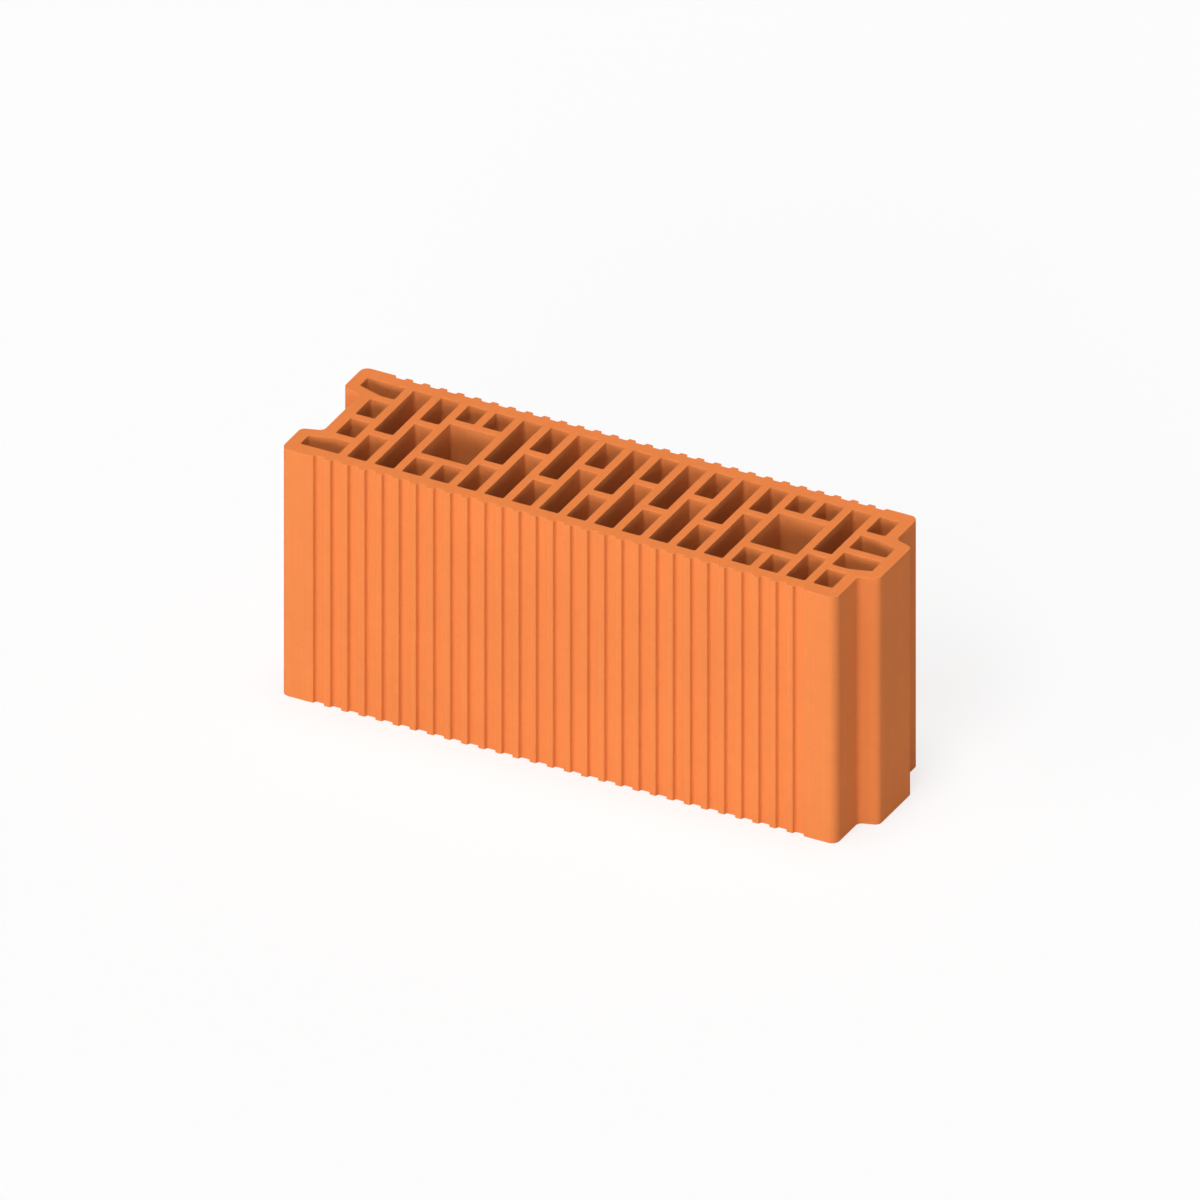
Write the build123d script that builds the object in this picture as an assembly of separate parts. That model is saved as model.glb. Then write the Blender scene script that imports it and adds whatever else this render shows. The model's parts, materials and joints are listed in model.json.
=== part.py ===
from build123d import *
import math
import os

# A hollow clay block with tongue and groove ends, extruded and fired as one piece.
# X runs from the groove end to the tongue end, Y from the front to the back, and Z up along
# the cells. The origin is the middle of the underside. Lengths are in millimetres.

# Outside of the block
body_length = 500.0        # from end plane to end plane, without the tongue
block_width = 142.0        # over the ribs of both long faces
block_height = 229.0       # the length at which the extruded bar is cut
corner_radius = 7.0        # upright corners of the block

# Tongue, and the groove at the other end that takes the next block's tongue
tongue_reach = 16.3
flank_lean_share = 0.31    # how far a flank leans in, as a share of the tongue's reach
side_clearance = 3.6       # beside the tongue, at each flank
end_clearance = 1.2        # in front of the tongue
joint_radius = 5.5         # all corners of the tongue and the groove

# Ribbed long faces, which hold the plaster
rib_width = 4.43           # flat top of a rib
rib_groove_mouth = 11.0    # width of the groove between two ribs, at the face
rib_groove_floor = 6.6
rib_groove_depth = 3.0
rib_radius = 1.2           # rounding of a rib's two edges
least_plain_end = 25.0     # stretch without ribs beside each corner

# Cells, which run through the whole height
cell_width = 17.4          # along the block
web = 7.3                  # clay between two cells
shell = 13.3               # clay in front of and behind the cells, up to the rib tops
end_wall = 10.6            # clay around the slots in the tongue and beside the groove
long_cell = 69.7           # across the block
small_cell = 25.0          # beside a grip hole and beside the tongue
cell_radius = 1.6
groove_end_columns = 3     # columns of cells between the groove end and its grip hole
tongue_end_columns = 2     # and between the tongue end and its grip hole
grip_columns = 2           # columns that a grip hole takes up

# Places and sizes that follow
overall_length = body_length + tongue_reach
half_width = block_width / 2
groove_end_x = -overall_length / 2
tongue_end_x = groove_end_x + body_length
tongue_tip_x = tongue_end_x + tongue_reach
clear_width = block_width - 2 * shell
half_tongue_root = clear_width / 2 - small_cell  # the flanks start in line with the small cells
half_tongue_tip = half_tongue_root - tongue_reach * flank_lean_share
groove_depth = tongue_reach + end_clearance
groove_floor_x = groove_end_x + groove_depth
half_groove_mouth = half_tongue_root + side_clearance
half_groove_floor = half_groove_mouth - groove_depth * flank_lean_share
flank_wall = end_wall * math.hypot(1, flank_lean_share)  # the end wall at a flank, along Y

rib_pitch = rib_width + rib_groove_mouth
rib_groove_count = math.floor((body_length - 2 * least_plain_end) / rib_pitch)
ribbed_length = rib_groove_count * rib_pitch
ribs_start_x = (groove_end_x + tongue_end_x - ribbed_length) / 2
ribs_stop_x = ribs_start_x + ribbed_length

cell_pitch = cell_width + web
column_count = math.floor((body_length - groove_depth - web) / cell_pitch)
lattice_length = column_count * cell_pitch - web
first_column_x = (groove_floor_x + tongue_end_x - lattice_length) / 2
last_column = column_count - 1
cell_front_y = shell - half_width
medium_cell = clear_width - web - long_cell
grip_length = clear_width - 2 * (small_cell + web)
tongue_slot = (clear_width - 3 * web) / 2 - small_cell
half_ear_web = (half_groove_mouth + half_groove_floor) / 2  # this web lies behind the groove's flank
groove_cell = half_ear_web - web
ear_slot = (clear_width - web) / 2 - half_ear_web


def rib_groove():
    """One rib groove in the front face, about x = 0, with half a rib on each side of it."""
    face_y = -half_width
    floor_y = face_y + rib_groove_depth
    half_floor = rib_groove_floor / 2
    half_mouth = rib_groove_mouth / 2
    half_pitch = rib_pitch / 2
    left = [(-half_pitch, face_y), (-half_mouth, face_y), (-half_floor, floor_y)]
    right = [(-x, y) for x, y in reversed(left)]
    return FilletPolyline(*left, *right, radius=[rib_radius, 0, 0, rib_radius])


def groove_end():
    """Front half of the groove end, from the middle of the groove's floor to the first rib."""
    return FilletPolyline(
        (groove_floor_x, 0),
        (groove_floor_x, -half_groove_floor),
        (groove_end_x, -half_groove_mouth),
        (groove_end_x, -half_width),
        (ribs_start_x, -half_width),
        radius=[joint_radius, joint_radius, corner_radius],
    )


def tongue_end():
    """Front half of the tongue end, from the last rib to the middle of the tongue's tip."""
    return FilletPolyline(
        (ribs_stop_x, -half_width),
        (tongue_end_x, -half_width),
        (tongue_end_x, -half_tongue_root),
        (tongue_tip_x, -half_tongue_tip),
        (tongue_tip_x, 0),
        radius=[corner_radius, joint_radius, joint_radius],
    )


def outline():
    """Face of the section without its cells: its front half, mirrored to the back."""
    groove = rib_groove()
    ribs = [Pos((index + 0.5) * rib_pitch + ribs_start_x) * groove for index in range(rib_groove_count)]
    front = [groove_end()] + ribs + [tongue_end()]
    back = mirror(front, about=Plane.XZ)
    return make_face([edge for line in front for edge in line.edges()] + back.edges())


def wedge(start_x, stop_x, half_start):
    """Wedge about y = 0 that narrows towards the tongue end as the joint's flanks do."""
    half_stop = half_start - (stop_x - start_x) * flank_lean_share
    half = [(start_x, -half_start), (stop_x, -half_stop)]
    return make_face(Polyline(*half, *[(x, -y) for x, y in reversed(half)], close=True))


def column_x(column):
    """Where a column of cells starts."""
    return first_column_x + column * cell_pitch


def column_fronts(lengths):
    """Front edges of a column's cells, from the front to the back and a web apart."""
    front_y = cell_front_y
    for length in lengths:
        yield front_y, length
        front_y += length + web


def cell(start_x, stop_x, front_y, length):
    """Plain four-sided cell."""
    middle = Pos((start_x + stop_x) / 2, front_y + length / 2)
    return middle * Rectangle(stop_x - start_x, length)


def column_cells(column, lengths):
    """All the cells of one column, in order from the front."""
    start_x = column_x(column)
    return [cell(start_x, start_x + cell_width, y, length) for y, length in column_fronts(lengths)]


def groove_end_cells():
    """First column: two cells behind the groove, and a slot that reaches into each ear."""
    lengths = [ear_slot, groove_cell, groove_cell, ear_slot]
    front_ear, front_cell, back_cell, back_ear = column_fronts(lengths)
    ear_x = groove_end_x + end_wall
    start_x = column_x(0)
    stop_x = start_x + cell_width
    groove_wall = wedge(groove_end_x, stop_x, half_groove_mouth + flank_wall)
    ears = [cell(ear_x, stop_x, y, length) - groove_wall for y, length in (front_ear, back_ear)]
    cells = [cell(start_x, stop_x, y, length) for y, length in (front_cell, back_cell)]
    return ears + cells


def tongue_end_cells():
    """Last column: a small cell at each face, and two slots that reach into the tongue."""
    lengths = [small_cell, tongue_slot, tongue_slot, small_cell]
    front_cell, front_slot, back_slot, back_cell = column_fronts(lengths)
    start_x = column_x(last_column)
    stop_x = start_x + cell_width
    slot_stop_x = tongue_tip_x - end_wall
    half_start = half_tongue_root + (tongue_end_x - start_x) * flank_lean_share - flank_wall
    core = wedge(start_x, slot_stop_x, half_start)
    slots = [cell(start_x, slot_stop_x, y, length) & core for y, length in (front_slot, back_slot)]
    cells = [cell(start_x, stop_x, y, length) for y, length in (front_cell, back_cell)]
    return slots + cells


def grip_cells(first_column):
    """Grip hole over its columns, with small cells in front of it and behind it."""
    lengths = [small_cell, grip_length, small_cell]
    stop_x = column_x(first_column + grip_columns) - web
    cells = []
    for column in range(first_column, first_column + grip_columns):
        front_cell, grip, back_cell = column_cells(column, lengths)
        cells += [front_cell, back_cell]
    front, middle, back = column_fronts(lengths)
    grip_y, length = middle
    cells.append(cell(column_x(first_column), stop_x, grip_y, length))
    return cells


def all_cells():
    """Every cell of the section, with its corners rounded."""
    grip_starts = [groove_end_columns, column_count - tongue_end_columns - grip_columns]
    taken = [start + step for start in grip_starts for step in range(grip_columns)]
    cells = groove_end_cells() + tongue_end_cells()
    for start in grip_starts:
        cells += grip_cells(start)
    for column in range(1, last_column):
        if column not in taken:
            staggered = [medium_cell, long_cell] if column % 2 else [long_cell, medium_cell]
            cells += column_cells(column, staggered)
    return [fillet(plain.vertices(), cell_radius) for plain in cells]


def hollow_clay_block():
    """The whole section, drawn out to the block's height."""
    section = outline() - all_cells()
    return extrude(section, amount=block_height)


os.makedirs("parts", exist_ok=True)
block = hollow_clay_block()
block.label = "hollow_clay_block"
export_step(block, "parts/hollow_clay_block.step")
print("cells in each row", column_count, "rib grooves on each long face", rib_groove_count)
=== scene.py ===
# %% [markdown]
# # A hollow clay block
# This lesson dresses one building block of fired clay. A machine pressed soft clay through a die, a
# wire cut the bar to length, and a kiln fired it. Its shape is already there as a CAD part. What is
# left for Blender is the finer work of the die, the wire and the kiln: steep ribs with hollow feet,
# soft arrises, drag lines, grit and an uneven colour.

import json
import math

import bpy
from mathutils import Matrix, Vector

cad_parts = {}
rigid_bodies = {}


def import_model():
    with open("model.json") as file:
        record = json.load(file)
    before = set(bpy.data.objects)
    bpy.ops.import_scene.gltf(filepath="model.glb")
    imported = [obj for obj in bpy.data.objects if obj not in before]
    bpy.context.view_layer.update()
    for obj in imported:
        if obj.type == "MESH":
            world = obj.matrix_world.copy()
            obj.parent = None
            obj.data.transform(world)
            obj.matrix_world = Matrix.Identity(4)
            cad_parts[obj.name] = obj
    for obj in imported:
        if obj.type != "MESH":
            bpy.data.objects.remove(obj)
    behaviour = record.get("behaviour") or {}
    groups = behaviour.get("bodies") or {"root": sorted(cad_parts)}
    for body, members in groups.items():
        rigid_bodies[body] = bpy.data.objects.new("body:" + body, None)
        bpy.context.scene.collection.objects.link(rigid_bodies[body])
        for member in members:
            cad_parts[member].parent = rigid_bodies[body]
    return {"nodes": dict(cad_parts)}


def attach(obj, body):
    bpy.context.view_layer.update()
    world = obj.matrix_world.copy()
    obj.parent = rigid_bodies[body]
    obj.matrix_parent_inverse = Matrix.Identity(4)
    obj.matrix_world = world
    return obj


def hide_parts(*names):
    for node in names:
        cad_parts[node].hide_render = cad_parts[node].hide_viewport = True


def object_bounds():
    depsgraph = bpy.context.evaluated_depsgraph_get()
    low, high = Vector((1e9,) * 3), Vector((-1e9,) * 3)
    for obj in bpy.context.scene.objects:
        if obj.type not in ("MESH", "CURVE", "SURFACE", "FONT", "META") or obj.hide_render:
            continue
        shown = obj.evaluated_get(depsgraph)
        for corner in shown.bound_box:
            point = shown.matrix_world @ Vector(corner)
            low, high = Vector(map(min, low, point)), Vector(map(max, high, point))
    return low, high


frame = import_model()
cad_low, cad_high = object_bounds()
MM = 0.001
NODE = "hollow_clay_block"
block_centre = (cad_low + cad_high) / 2
print("block size in mm:", [round(side / MM, 1) for side in cad_high - cad_low])

# %% [markdown]
# ## The view
# In the photograph, edges that are parallel on the block stay parallel, so it was taken without
# perspective. An orthographic camera does the same. Its two angles follow from the slopes of the long
# and the short top edge, and its width follows from the length of the block in the picture. The block
# stands a little right of the middle and a little low, so the camera aims beside its centre by the
# same amount.

# %% Set up the camera
VIEW_AZIMUTH = 27.825
VIEW_ELEVATION = 30.988
FRAME_PIXELS = 1200
PIXELS_PER_METRE = 1255.3
BLOCK_RIGHT_PIXELS = 8.9
BLOCK_DOWN_PIXELS = 8.3
CAMERA_DISTANCE = 2.0


def direction(azimuth, elevation):
    """Unit vector from the block, in degrees to the right of the front and above the floor."""
    turn = math.radians(azimuth)
    rise = math.radians(elevation)
    return Vector((math.sin(turn) * math.cos(rise), -math.cos(turn) * math.cos(rise), math.sin(rise)))


def point_at_block(obj, towards):
    """Turns a camera or a lamp so that it looks back along a direction."""
    obj.rotation_mode = "QUATERNION"
    obj.rotation_quaternion = (-towards).to_track_quat("-Z", "Y")


towards_camera = direction(VIEW_AZIMUTH, VIEW_ELEVATION)
picture_right = direction(VIEW_AZIMUTH + 90, 0)
picture_up = towards_camera.cross(picture_right)
aim = (
    block_centre
    - picture_right * BLOCK_RIGHT_PIXELS / PIXELS_PER_METRE
    + picture_up * BLOCK_DOWN_PIXELS / PIXELS_PER_METRE
)

bpy.ops.object.select_all(action="DESELECT")
bpy.ops.object.camera_add(location=aim + towards_camera * CAMERA_DISTANCE)
camera = bpy.context.object
camera.name = "photo_camera"
point_at_block(camera, towards_camera)
camera.data.type = "ORTHO"
camera.data.ortho_scale = FRAME_PIXELS / PIXELS_PER_METRE
bpy.context.scene.camera = camera
bpy.context.scene.view_settings.view_transform = "Standard"
print("camera sees", round(camera.data.ortho_scale / MM), "mm from side to side")

# %% [markdown]
# ## The lamps
# The ribbed face is the brightest, the top is a little darker, and the tongue end is half as bright.
# Each rib throws one dark line, on its right, and the cells are lit only near their rims. So one low
# lamp stands in front, a little to the right, one stands low on the left, one hangs high in front,
# and one hangs overhead. They are sun lamps, which light the ribbed face evenly from top to bottom,
# where lamps close by would not, and a wide angle makes them soft.

# %% Add the lamps
LAMP_SOFTNESS = math.radians(27)
LAMPS = [
    # name, azimuth, elevation, strength
    ("front_lamp", 10, 8, 1.0),
    ("left_lamp", -40, 8, 0.76),
    ("high_lamp", 0, 50, 1.07),
    ("overhead_lamp", 0, 90, 1.61),
]

for name, azimuth, elevation, strength in LAMPS:
    towards = direction(azimuth, elevation)
    bpy.ops.object.light_add(type="SUN", location=towards * CAMERA_DISTANCE)
    lamp = bpy.context.object
    lamp.name = name
    point_at_block(lamp, towards)
    lamp.data.energy = strength
    lamp.data.angle = LAMP_SOFTNESS
    print(name, strength)

# %% [markdown]
# ## The surroundings
# The pale walls of a studio do two jobs. To the camera they are plain white, as the photograph's
# background is. To light that bounces they are a low band of light all round, with a dark ceiling
# above it, so that they fill the shaded faces but hardly reach into the cells. The Light Path node
# tells the two jobs apart.

# %% Write helpers for nodes
def link(tree, source, target):
    """Joins an output socket to an input socket."""
    tree.links.new(source, target)


def join(tree, operation, first, second):
    """Math node on two values, of which the second may be a plain number."""
    math_node = tree.nodes.new("ShaderNodeMath")
    math_node.operation = operation
    link(tree, first, math_node.inputs[0])
    if isinstance(second, float):
        math_node.inputs[1].default_value = second
    else:
        link(tree, second, math_node.inputs[1])
    return math_node.outputs[0]


def spread(tree, value, from_low, from_high, to_low, to_high):
    """Maps one range of values to another and holds the ends."""
    ramp = tree.nodes.new("ShaderNodeMapRange")
    ramp.inputs["From Min"].default_value = from_low
    ramp.inputs["From Max"].default_value = from_high
    ramp.inputs["To Min"].default_value = to_low
    ramp.inputs["To Max"].default_value = to_high
    link(tree, value, ramp.inputs["Value"])
    return ramp.outputs["Result"]


def upward(tree, source):
    """The third part of a vector."""
    parts = tree.nodes.new("ShaderNodeSeparateXYZ")
    link(tree, source, parts.inputs[0])
    return parts.outputs["Z"]


def seen_directly(tree):
    """1 for what the camera sees, also mirrored or through glass, and 0 for light that bounces."""
    path = tree.nodes.new("ShaderNodeLightPath").outputs
    mirrored = join(tree, "MAXIMUM", path["Is Camera Ray"], path["Is Glossy Ray"])
    return join(tree, "MAXIMUM", mirrored, path["Is Transmission Ray"])


print("node helpers ready")

# %% Add the pale surroundings
WALL_STRENGTH = 0.92
WALL_TOP = 0.25
CEILING_EDGE = 0.45

world = bpy.data.worlds.new("pale_surroundings")
world.use_nodes = True
bpy.context.scene.world = world
sky = world.node_tree
sky.nodes.clear()
heading = sky.nodes.new("ShaderNodeTexCoord").outputs["Generated"]
wall_light = sky.nodes.new("ShaderNodeBackground")
wall_light.inputs["Color"].default_value = (1, 1, 1, 1)
wall_band = spread(sky, upward(sky, heading), WALL_TOP, CEILING_EDGE, WALL_STRENGTH, 0.0)
link(sky, wall_band, wall_light.inputs["Strength"])
white_backdrop = sky.nodes.new("ShaderNodeBackground")
white_backdrop.inputs["Color"].default_value = (1, 1, 1, 1)
either = sky.nodes.new("ShaderNodeMixShader")
link(sky, seen_directly(sky), either.inputs[0])
link(sky, wall_light.outputs[0], either.inputs[1])
link(sky, white_backdrop.outputs[0], either.inputs[2])
link(sky, either.outputs[0], sky.nodes.new("ShaderNodeOutputWorld").inputs["Surface"])
print("walls shine at", WALL_STRENGTH)

# %% [markdown]
# The floor meets the white backdrop, so to the camera it is white paint with a share of plain white
# mixed in, which leaves the block's shadow soft and faint. To light that bounces it is a mid grey,
# because a white floor would light the ribs from below.

# %% Add the floor
FLOOR_SIDE = 12.0
FLOOR_PAINT = (0.97, 0.97, 0.97, 1)
FLOOR_BOUNCE = (0.45, 0.45, 0.45, 1)
FLOOR_WHITE_SHARE = 0.7

bpy.ops.object.select_all(action="DESELECT")
bpy.ops.mesh.primitive_plane_add(size=FLOOR_SIDE, location=(0, 0, cad_low.z))
floor = bpy.context.object
floor.name = "studio_floor"
floor_finish = bpy.data.materials.new("floor_finish")
floor_finish.use_nodes = True
tree = floor_finish.node_tree
paint = tree.nodes["Principled BSDF"]
paint.inputs["Roughness"].default_value = 1.0
paint.inputs["Specular IOR Level"].default_value = 0.0
directly = seen_directly(tree)
tone = tree.nodes.new("ShaderNodeMix")
tone.data_type = "RGBA"
link(tree, directly, tone.inputs["Factor"])
tone.inputs["A"].default_value = FLOOR_BOUNCE
tone.inputs["B"].default_value = FLOOR_PAINT
link(tree, tone.outputs["Result"], paint.inputs["Base Color"])
plain_white = tree.nodes.new("ShaderNodeEmission")
blend = tree.nodes.new("ShaderNodeMixShader")
link(tree, join(tree, "MULTIPLY", directly, FLOOR_WHITE_SHARE), blend.inputs[0])
link(tree, paint.outputs[0], blend.inputs[1])
link(tree, plain_white.outputs[0], blend.inputs[2])
link(tree, blend.outputs[0], tree.nodes["Material Output"].inputs["Surface"])
floor.data.materials.append(floor_finish)
print("floor side in m:", FLOOR_SIDE)

# %% [markdown]
# ## The fired block
# The block could be drawn again here, with an array of cells cut out of a box. A copy of the CAD mesh
# is better: every wall is then exactly where the die left it. The copy comes as loose triangles, so
# its corners are merged first, and the triangles of each flat wall are dissolved into one face that
# can take a clean bevel.

# %% Copy the CAD mesh and merge it
MERGE_DISTANCE = 0.005 * MM
FLAT_ANGLE = math.radians(0.5)

bpy.ops.object.select_all(action="DESELECT")
cad_block = frame["nodes"][NODE]
clay_block = bpy.data.objects.new("fired_clay_block", cad_block.data.copy())
clay_block.data.materials.clear()
bpy.context.scene.collection.objects.link(clay_block)
clay_block.select_set(True)
bpy.context.view_layer.objects.active = clay_block
bpy.ops.object.mode_set(mode="EDIT")
bpy.ops.mesh.select_all(action="SELECT")
bpy.ops.mesh.remove_doubles(threshold=MERGE_DISTANCE)
bpy.ops.mesh.dissolve_limited(angle_limit=FLAT_ANGLE)
bpy.ops.object.mode_set(mode="OBJECT")
print("faces after merging:", len(clay_block.data.polygons))

# %% [markdown]
# ## The ribs
# The ribs on the long faces hold the plaster. The CAD part draws their flanks as plain slopes. In the
# photograph a rib is steeper: its left flank hides behind its edge, and its right flank is one thin
# dark line. So every flank is squeezed towards its own middle. Its foot is an upright edge at the
# depth of the groove floors, away from the ends, and is found by that place. The feet of each groove
# come in pairs, from left to right.

# %% Steepen the ribs
RIB_DEPTH = 3 * MM
PLAIN_END = 25 * MM
FLANK_RUN = 2.2 * MM
RIB_ROUNDING = 0.7 * MM
STEEPNESS_SHARE = 0.5
NEAR = 0.05 * MM


def in_ribs(place):
    """True for a place on the ribs or on the floors between them."""
    return abs(place.y) + RIB_DEPTH + NEAR > cad_high.y and abs(place.x) + PLAIN_END < cad_high.x


def is_foot(edge):
    """True for an upright edge where a rib meets the floor of its groove."""
    bottom, top = [clay_block.data.vertices[index].co for index in edge.vertices]
    at_floor = abs(abs(top.y) + RIB_DEPTH - cad_high.y) < NEAR
    return in_ribs(top) and at_floor and (top - bottom).xy.length < NEAR


feet = [edge.index for edge in clay_block.data.edges if is_foot(edge)]
foot_places = [
    clay_block.data.vertices[clay_block.data.edges[index].vertices[0]].co for index in feet
]
foot_x = sorted(place.x for place in foot_places if place.y < 0)
middles = [x - FLANK_RUN / 2 for x in foot_x[0::2]] + [x + FLANK_RUN / 2 for x in foot_x[1::2]]
for vertex in clay_block.data.vertices:
    if in_ribs(vertex.co):
        middle = min(middles, key=lambda x: abs(x - vertex.co.x))
        away = vertex.co.x - middle
        if abs(away) < FLANK_RUN / 2 + RIB_ROUNDING:
            vertex.co.x = middle + away * STEEPNESS_SHARE
print("flanks steepened:", len(middles), "on each long face")

# %% [markdown]
# The die's teeth are worn, so a rib rises from its groove in a small hollow, not from a sharp corner.
# A bevel of a few steps on each foot makes that hollow. It leaves small flat faces on the beds, which
# are dissolved.

# %% Hollow the feet of the ribs
FOOT_WIDTH = 0.9 * MM
FOOT_STEPS = 3


def select_parts(parts, wanted, kind):
    """Selects some edges or faces of the block, by number, and leaves it in edit mode."""
    bpy.ops.object.mode_set(mode="EDIT")
    bpy.ops.mesh.select_mode(type=kind)
    bpy.ops.mesh.select_all(action="DESELECT")
    bpy.ops.object.mode_set(mode="OBJECT")
    for index in wanted:
        parts[index].select = True
    bpy.ops.object.mode_set(mode="EDIT")


select_parts(clay_block.data.edges, feet, "EDGE")
bpy.ops.mesh.bevel(
    offset=FOOT_WIDTH, segments=FOOT_STEPS, affect="EDGES", clamp_overlap=False, loop_slide=False
)
bpy.ops.mesh.select_all(action="SELECT")
bpy.ops.mesh.dissolve_limited(angle_limit=FLAT_ANGLE)
bpy.ops.object.mode_set(mode="OBJECT")
print("feet hollowed:", len(feet))

# %% [markdown]
# ## Where the wire cut
# The cutting wire left a rim round every cell and round the whole outline. A rim is an edge between a
# bed, which lies level, and a wall, which stands upright, so the normals of its two faces give it
# away. The rims are marked as seams: they then part the block into its two beds, its outer skin and
# the walls of each cell.

# %% Find the rims and mark them
UPRIGHT = 0.02
LEVEL = 0.98


def rim_edges(mesh):
    """Edges where a bed meets a wall."""
    tilts_at = {}
    for face in mesh.polygons:
        for edge in face.edge_keys:
            tilts_at.setdefault(edge, []).append(abs(face.normal.z))
    return {edge for edge, tilts in tilts_at.items() if min(tilts) < UPRIGHT and max(tilts) > LEVEL}


rims = rim_edges(clay_block.data)
for edge in clay_block.data.edges:
    edge.use_seam = edge.key in rims
print("edges in the rims:", len(rims))

# %% [markdown]
# ## Four finishes on one piece of clay
# The die drew a smooth skin on the outside. The cells have the same skin, with painted shade in its
# colour: a touch duller, and darker deep inside. The wire left a cut bed above and below, and
# handling wears the arris between bed and wall. One face of the outer skin is picked, and Select
# Linked finds the rest of it up to the seams.

# %% Sort the faces by finish
FINISHES = ["drawn_skin", "cell_skin_and_shade", "wire_cut_bed", "worn_arris"]


def give_finish(name):
    """Gives the selected faces a finish and goes back to object mode."""
    clay_block.active_material_index = FINISHES.index(name)
    bpy.ops.object.material_slot_assign()
    bpy.ops.object.mode_set(mode="OBJECT")


for finish in FINISHES:
    clay_block.data.materials.append(bpy.data.materials.new(finish))
faces = clay_block.data.polygons
select_parts(faces, range(len(faces)), "FACE")
give_finish("cell_skin_and_shade")
select_parts(faces, [face.index for face in faces if abs(face.normal.z) > LEVEL], "FACE")
give_finish("wire_cut_bed")
outermost = max(faces, key=lambda face: face.center.x)
select_parts(faces, [outermost.index], "FACE")
bpy.ops.mesh.select_linked(delimit={"SEAM"})
give_finish("drawn_skin")
for slot, finish in enumerate(FINISHES):
    print(finish, "on", sum(face.material_index == slot for face in faces), "faces")

# %% [markdown]
# ## The arrises
# A wire-cut rim is a little soft, never razor sharp. The rims are still marked, so they can be
# selected again, and one bevel rounds them all. It is narrower than the rounding of the ribs, so that
# it can follow them without folding over itself. Its faces get the arris finish as they are made.

# %% Round the rims
ARRIS_WIDTH = 0.25 * MM
ARRIS_STEPS = 2

marked = [edge.index for edge in clay_block.data.edges if edge.use_seam]
select_parts(clay_block.data.edges, marked, "EDGE")
bpy.ops.mesh.bevel(
    offset=ARRIS_WIDTH,
    segments=ARRIS_STEPS,
    affect="EDGES",
    clamp_overlap=False,
    loop_slide=False,
    material=FINISHES.index("worn_arris"),
)
bpy.ops.mesh.select_all(action="SELECT")
bpy.ops.mesh.mark_seam(clear=True)
bpy.ops.object.mode_set(mode="OBJECT")
print("faces after rounding:", len(clay_block.data.polygons))

# %% [markdown]
# Smooth shading would smear light over the large flat faces, because all their corners lie on a
# rounded rim. A Weighted Normal modifier lets the largest face at each corner decide, so the flats
# stay flat and only the rims and the rounded ribs shade softly.

# %% Shade the flats flat and the rims soft
SMOOTH_ANGLE = math.radians(50)
LARGEST_FACE_DECIDES = 100

bpy.ops.object.shade_smooth_by_angle(angle=SMOOTH_ANGLE)
weighted = clay_block.modifiers.new("flats_stay_flat", "WEIGHTED_NORMAL")
weighted.mode = "FACE_AREA"
weighted.weight = LARGEST_FACE_DECIDES
weighted.keep_sharp = True
bpy.ops.object.modifier_apply(modifier=weighted.name)
print("shading set on", clay_block.name)

# %% [markdown]
# ## The kiln's colour
# All four finishes share the colour that the kiln gave the clay. It drifts slowly over a hand's
# breadth, is mottled at the size of a fingertip and carries a few dark iron specks. Away from both
# beds it turns to a core colour, which the cells set darker as painted shade. Painting an image could
# do this, but noise in the block's own space wraps round every corner without a seam. It goes into a
# node group, so that each finish can use it with its own strength.

# %% Write helpers for node groups
def new_group(name, inputs, outputs):
    """Empty node group with named sockets, given as pairs of a name and a kind."""
    group = bpy.data.node_groups.new(name, "ShaderNodeTree")
    for socket, kind in inputs:
        group.interface.new_socket(socket, in_out="INPUT", socket_type="NodeSocket" + kind)
    for socket, kind in outputs:
        group.interface.new_socket(socket, in_out="OUTPUT", socket_type="NodeSocket" + kind)
    return group, group.nodes.new("NodeGroupInput").outputs, group.nodes.new("NodeGroupOutput").inputs


def noise(tree, place, grains_per_metre, detail):
    """Noise about 0.5 that reads a place in metres."""
    texture = tree.nodes.new("ShaderNodeTexNoise")
    texture.inputs["Scale"].default_value = grains_per_metre
    texture.inputs["Detail"].default_value = detail
    link(tree, place, texture.inputs["Vector"])
    return texture.outputs["Fac"]


print("group helpers ready")

# %% Build the kiln tone and painted shade group
SHADE_REACH = 35 * MM
CLOUDS_PER_METRE = 9.0
CLOUD_DETAIL = 2.0
MOTTLES_PER_METRE = 90.0
MOTTLE_DETAIL = 3.0
MOTTLE_SHARE = 0.6
SPECKS_PER_METRE = 700.0
SPECK_DETAIL = 0.0
SPECK_SHARE = 3.0
NOISE_LOW = 0.3
NOISE_HIGH = 0.7
SPECK_STARTS = 0.74
SPECK_FULL = 0.8

kiln_tone_and_shade, given, result = new_group(
    "kiln_tone_and_shade",
    [("Place", "Vector"), ("Clay", "Color"), ("Shaded Core", "Color"), ("Drift", "Float")],
    [("Colour", "Color")],
)
# Painted shade: away from both beds the colour turns to the core, which the cells set darker.
height = upward(kiln_tone_and_shade, given["Place"])
from_below = spread(kiln_tone_and_shade, height, cad_low.z, cad_low.z + SHADE_REACH, 0.0, 1.0)
from_above = spread(kiln_tone_and_shade, height, cad_high.z - SHADE_REACH, cad_high.z, 1.0, 0.0)
painted_core_shade = kiln_tone_and_shade.nodes.new("ShaderNodeMix")
painted_core_shade.data_type = "RGBA"
link(kiln_tone_and_shade, join(kiln_tone_and_shade, "MULTIPLY", from_below, from_above), painted_core_shade.inputs["Factor"])
link(kiln_tone_and_shade, given["Clay"], painted_core_shade.inputs["A"])
link(kiln_tone_and_shade, given["Shaded Core"], painted_core_shade.inputs["B"])

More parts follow.
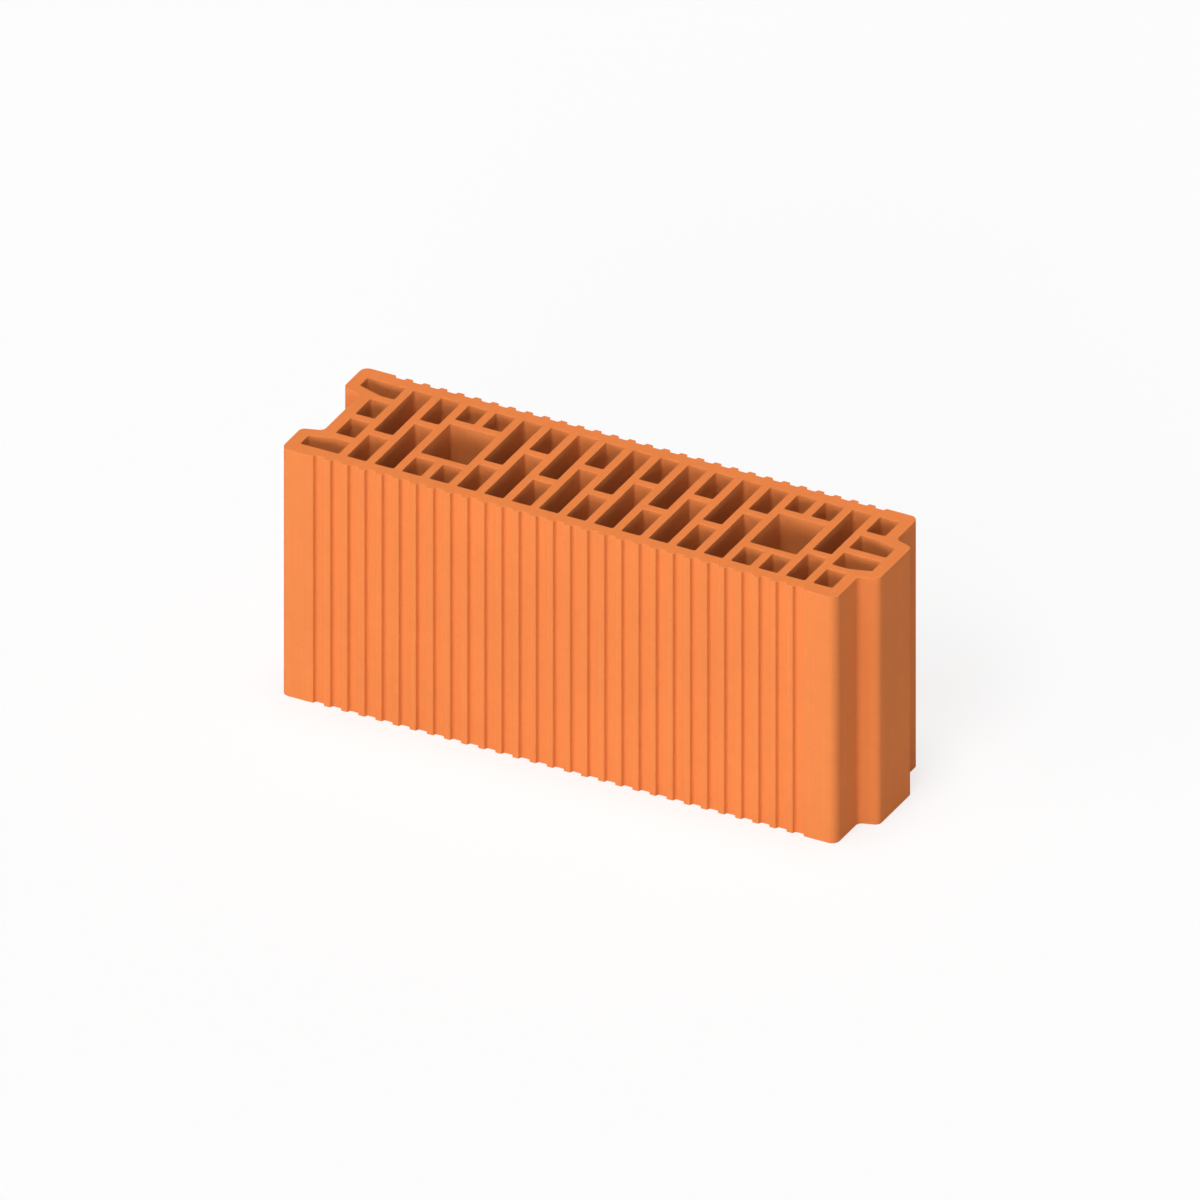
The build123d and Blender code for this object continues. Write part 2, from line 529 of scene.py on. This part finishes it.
place = given["Place"]
cloud_noise = noise(kiln_tone_and_shade, place, CLOUDS_PER_METRE, CLOUD_DETAIL)
clouds = spread(kiln_tone_and_shade, cloud_noise, NOISE_LOW, NOISE_HIGH, -1.0, 1.0)
mottle_noise = noise(kiln_tone_and_shade, place, MOTTLES_PER_METRE, MOTTLE_DETAIL)
mottle = spread(kiln_tone_and_shade, mottle_noise, NOISE_LOW, NOISE_HIGH, -MOTTLE_SHARE, MOTTLE_SHARE)
speck_noise = noise(kiln_tone_and_shade, place, SPECKS_PER_METRE, SPECK_DETAIL)
specks = spread(kiln_tone_and_shade, speck_noise, SPECK_STARTS, SPECK_FULL, 0.0, -SPECK_SHARE)
uneven = join(kiln_tone_and_shade, "ADD", join(kiln_tone_and_shade, "ADD", clouds, mottle), specks)
brightness = join(kiln_tone_and_shade, "ADD", join(kiln_tone_and_shade, "MULTIPLY", uneven, given["Drift"]), 1.0)
fired = kiln_tone_and_shade.nodes.new("ShaderNodeHueSaturation")
link(kiln_tone_and_shade, painted_core_shade.outputs["Result"], fired.inputs["Color"])
link(kiln_tone_and_shade, brightness, fired.inputs["Value"])
link(kiln_tone_and_shade, fired.outputs["Color"], result["Colour"])
print("kiln tone:", len(kiln_tone_and_shade.nodes), "nodes")

# %% [markdown]
# ## Drag lines and grit
# Clay that is pushed past steel is drawn out into fine lines: upright on the walls, and across the
# block on the beds, where the wire went through. The same noise makes both, stretched along one
# direction. Grit is the fine sand in the clay, which stands out of the skin a little and leaves pits
# where a grain fell out.

# %% Build the drag line and grit groups
LINE_DETAIL = 3.0
SAND_PER_METRE = 800.0
SAND_DETAIL = 3.0
PITS_PER_METRE = 420.0
PIT_DETAIL = 1.0
PIT_EDGE = 0.3
PIT_FLOOR = 0.24

drag_lines, given, result = new_group(
    "drag_lines", [("Place", "Vector"), ("Lines", "Vector")], [("Height", "Float")]
)
drawn_out = drag_lines.nodes.new("ShaderNodeVectorMath")
drawn_out.operation = "MULTIPLY"
link(drag_lines, given["Place"], drawn_out.inputs[0])
link(drag_lines, given["Lines"], drawn_out.inputs[1])
link(drag_lines, noise(drag_lines, drawn_out.outputs[0], 1.0, LINE_DETAIL), result["Height"])

grit, given, result = new_group("grit", [("Place", "Vector")], [("Height", "Float")])
sand = noise(grit, given["Place"], SAND_PER_METRE, SAND_DETAIL)
pit_noise = noise(grit, given["Place"], PITS_PER_METRE, PIT_DETAIL)
pits = spread(grit, pit_noise, PIT_EDGE, PIT_FLOOR, 0.0, 1.0)
link(grit, join(grit, "SUBTRACT", sand, pits), result["Height"])
print("drag lines:", len(drag_lines.nodes), "nodes, grit:", len(grit.nodes), "nodes")

# %% [markdown]
# ## Mix the finishes
# Each finish is the same three groups at other strengths. The skin is smooth and finely lined, the
# cut bed is rougher, and the arris is plain and a touch paler, because handling rubs its skin off.
# Fired clay has no gloss, so the shader stays rough, and only its normals and its colour carry the
# detail.
#
# Light that goes from wall to wall in a narrow cell would turn redder each time, and the photograph's
# cells stay brown. So each finish has a second, plain colour for light that only bounces off it. It
# is paler in the cells and the same clay elsewhere.

# %% Mix the finishes
CLAY = (0.825, 0.243, 0.069, 1)
BED_CLAY = (0.828, 0.2325, 0.061, 1)
# Painted shade in the cells: their clay is a touch duller than the outer skin, and deep inside it
# darkens to the next colour.
CELL_CLAY = (0.82, 0.25, 0.072, 1)
CELL_CORE_PAINTED_SHADE = (0.78, 0.235, 0.066, 1)
ARRIS_CLAY = (0.845, 0.26, 0.078, 1)
CELL_BOUNCE = (0.8, 0.55, 0.42, 1)
LINES_UP = (420.0, 420.0, 4.0)
LINES_ACROSS = (380.0, 8.0, 380.0)
BUMP_DEPTH = 0.15 * MM
GLOSS = 0.1
GRIT_LOW = 0.2
GRIT_HIGH = 0.8
SMOOTHEST = 0.82
ROUGHEST = 0.92


def place_group(tree, group, values):
    """Puts a node group into a material, reading the block's own space, with its own values."""
    node = tree.nodes.new("ShaderNodeGroup")
    node.node_tree = group
    link(tree, tree.nodes.new("ShaderNodeTexCoord").outputs["Object"], node.inputs["Place"])
    for socket, value in values.items():
        node.inputs[socket].default_value = value
    return node.outputs[0]


def mix_finish(name, clay, shaded_core, bounce, drift, lines, line_share):
    """Wires the three groups into one finish. Grit takes the share that the drag lines leave.

    Light that only bounces off the clay meets the bounce colour.
    """
    material = bpy.data.materials[name]
    material.use_nodes = True
    tree = material.node_tree
    shader = tree.nodes["Principled BSDF"]
    shader.inputs["Specular IOR Level"].default_value = GLOSS

    colour = place_group(tree, kiln_tone_and_shade, {"Clay": clay, "Shaded Core": shaded_core, "Drift": drift})
    lined = join(tree, "MULTIPLY", place_group(tree, drag_lines, {"Lines": lines}), line_share)
    gritty = place_group(tree, grit, {})
    relief = join(tree, "ADD", lined, join(tree, "MULTIPLY", gritty, 1 - line_share))
    bump = tree.nodes.new("ShaderNodeBump")
    bump.inputs["Distance"].default_value = BUMP_DEPTH
    link(tree, relief, bump.inputs["Height"])
    link(tree, bump.outputs["Normal"], shader.inputs["Normal"])

    streaked = tree.nodes.new("ShaderNodeHueSaturation")
    link(tree, colour, streaked.inputs["Color"])
    streaks = spread(tree, relief, NOISE_LOW, NOISE_HIGH, 1 - drift, 1 + drift)
    link(tree, streaks, streaked.inputs["Value"])
    seen_or_lit = tree.nodes.new("ShaderNodeMix")
    seen_or_lit.data_type = "RGBA"
    bouncing = tree.nodes.new("ShaderNodeLightPath").outputs["Is Diffuse Ray"]
    link(tree, bouncing, seen_or_lit.inputs["Factor"])
    link(tree, streaked.outputs["Color"], seen_or_lit.inputs["A"])
    seen_or_lit.inputs["B"].default_value = bounce
    link(tree, seen_or_lit.outputs["Result"], shader.inputs["Base Color"])
    roughness = spread(tree, gritty, GRIT_LOW, GRIT_HIGH, SMOOTHEST, ROUGHEST)
    link(tree, roughness, shader.inputs["Roughness"])
    print("finish:", name)


FINISH_MIXES = [
    # name, clay, clay deep inside (painted shade in the cells), clay for light that bounces, drift,
    # lines, share of the lines
    ("drawn_skin", CLAY, CLAY, CLAY, 0.025, LINES_UP, 0.8),
    ("cell_skin_and_shade", CELL_CLAY, CELL_CORE_PAINTED_SHADE, CELL_BOUNCE, 0.025, LINES_UP, 0.8),
    ("wire_cut_bed", BED_CLAY, BED_CLAY, BED_CLAY, 0.025, LINES_ACROSS, 0.5),
    ("worn_arris", ARRIS_CLAY, ARRIS_CLAY, ARRIS_CLAY, 0.02, LINES_UP, 0.2),
]

for finish_mix in FINISH_MIXES:
    mix_finish(*finish_mix)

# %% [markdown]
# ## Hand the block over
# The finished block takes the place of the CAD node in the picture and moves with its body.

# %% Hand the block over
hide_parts(NODE)
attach(clay_block, "root")
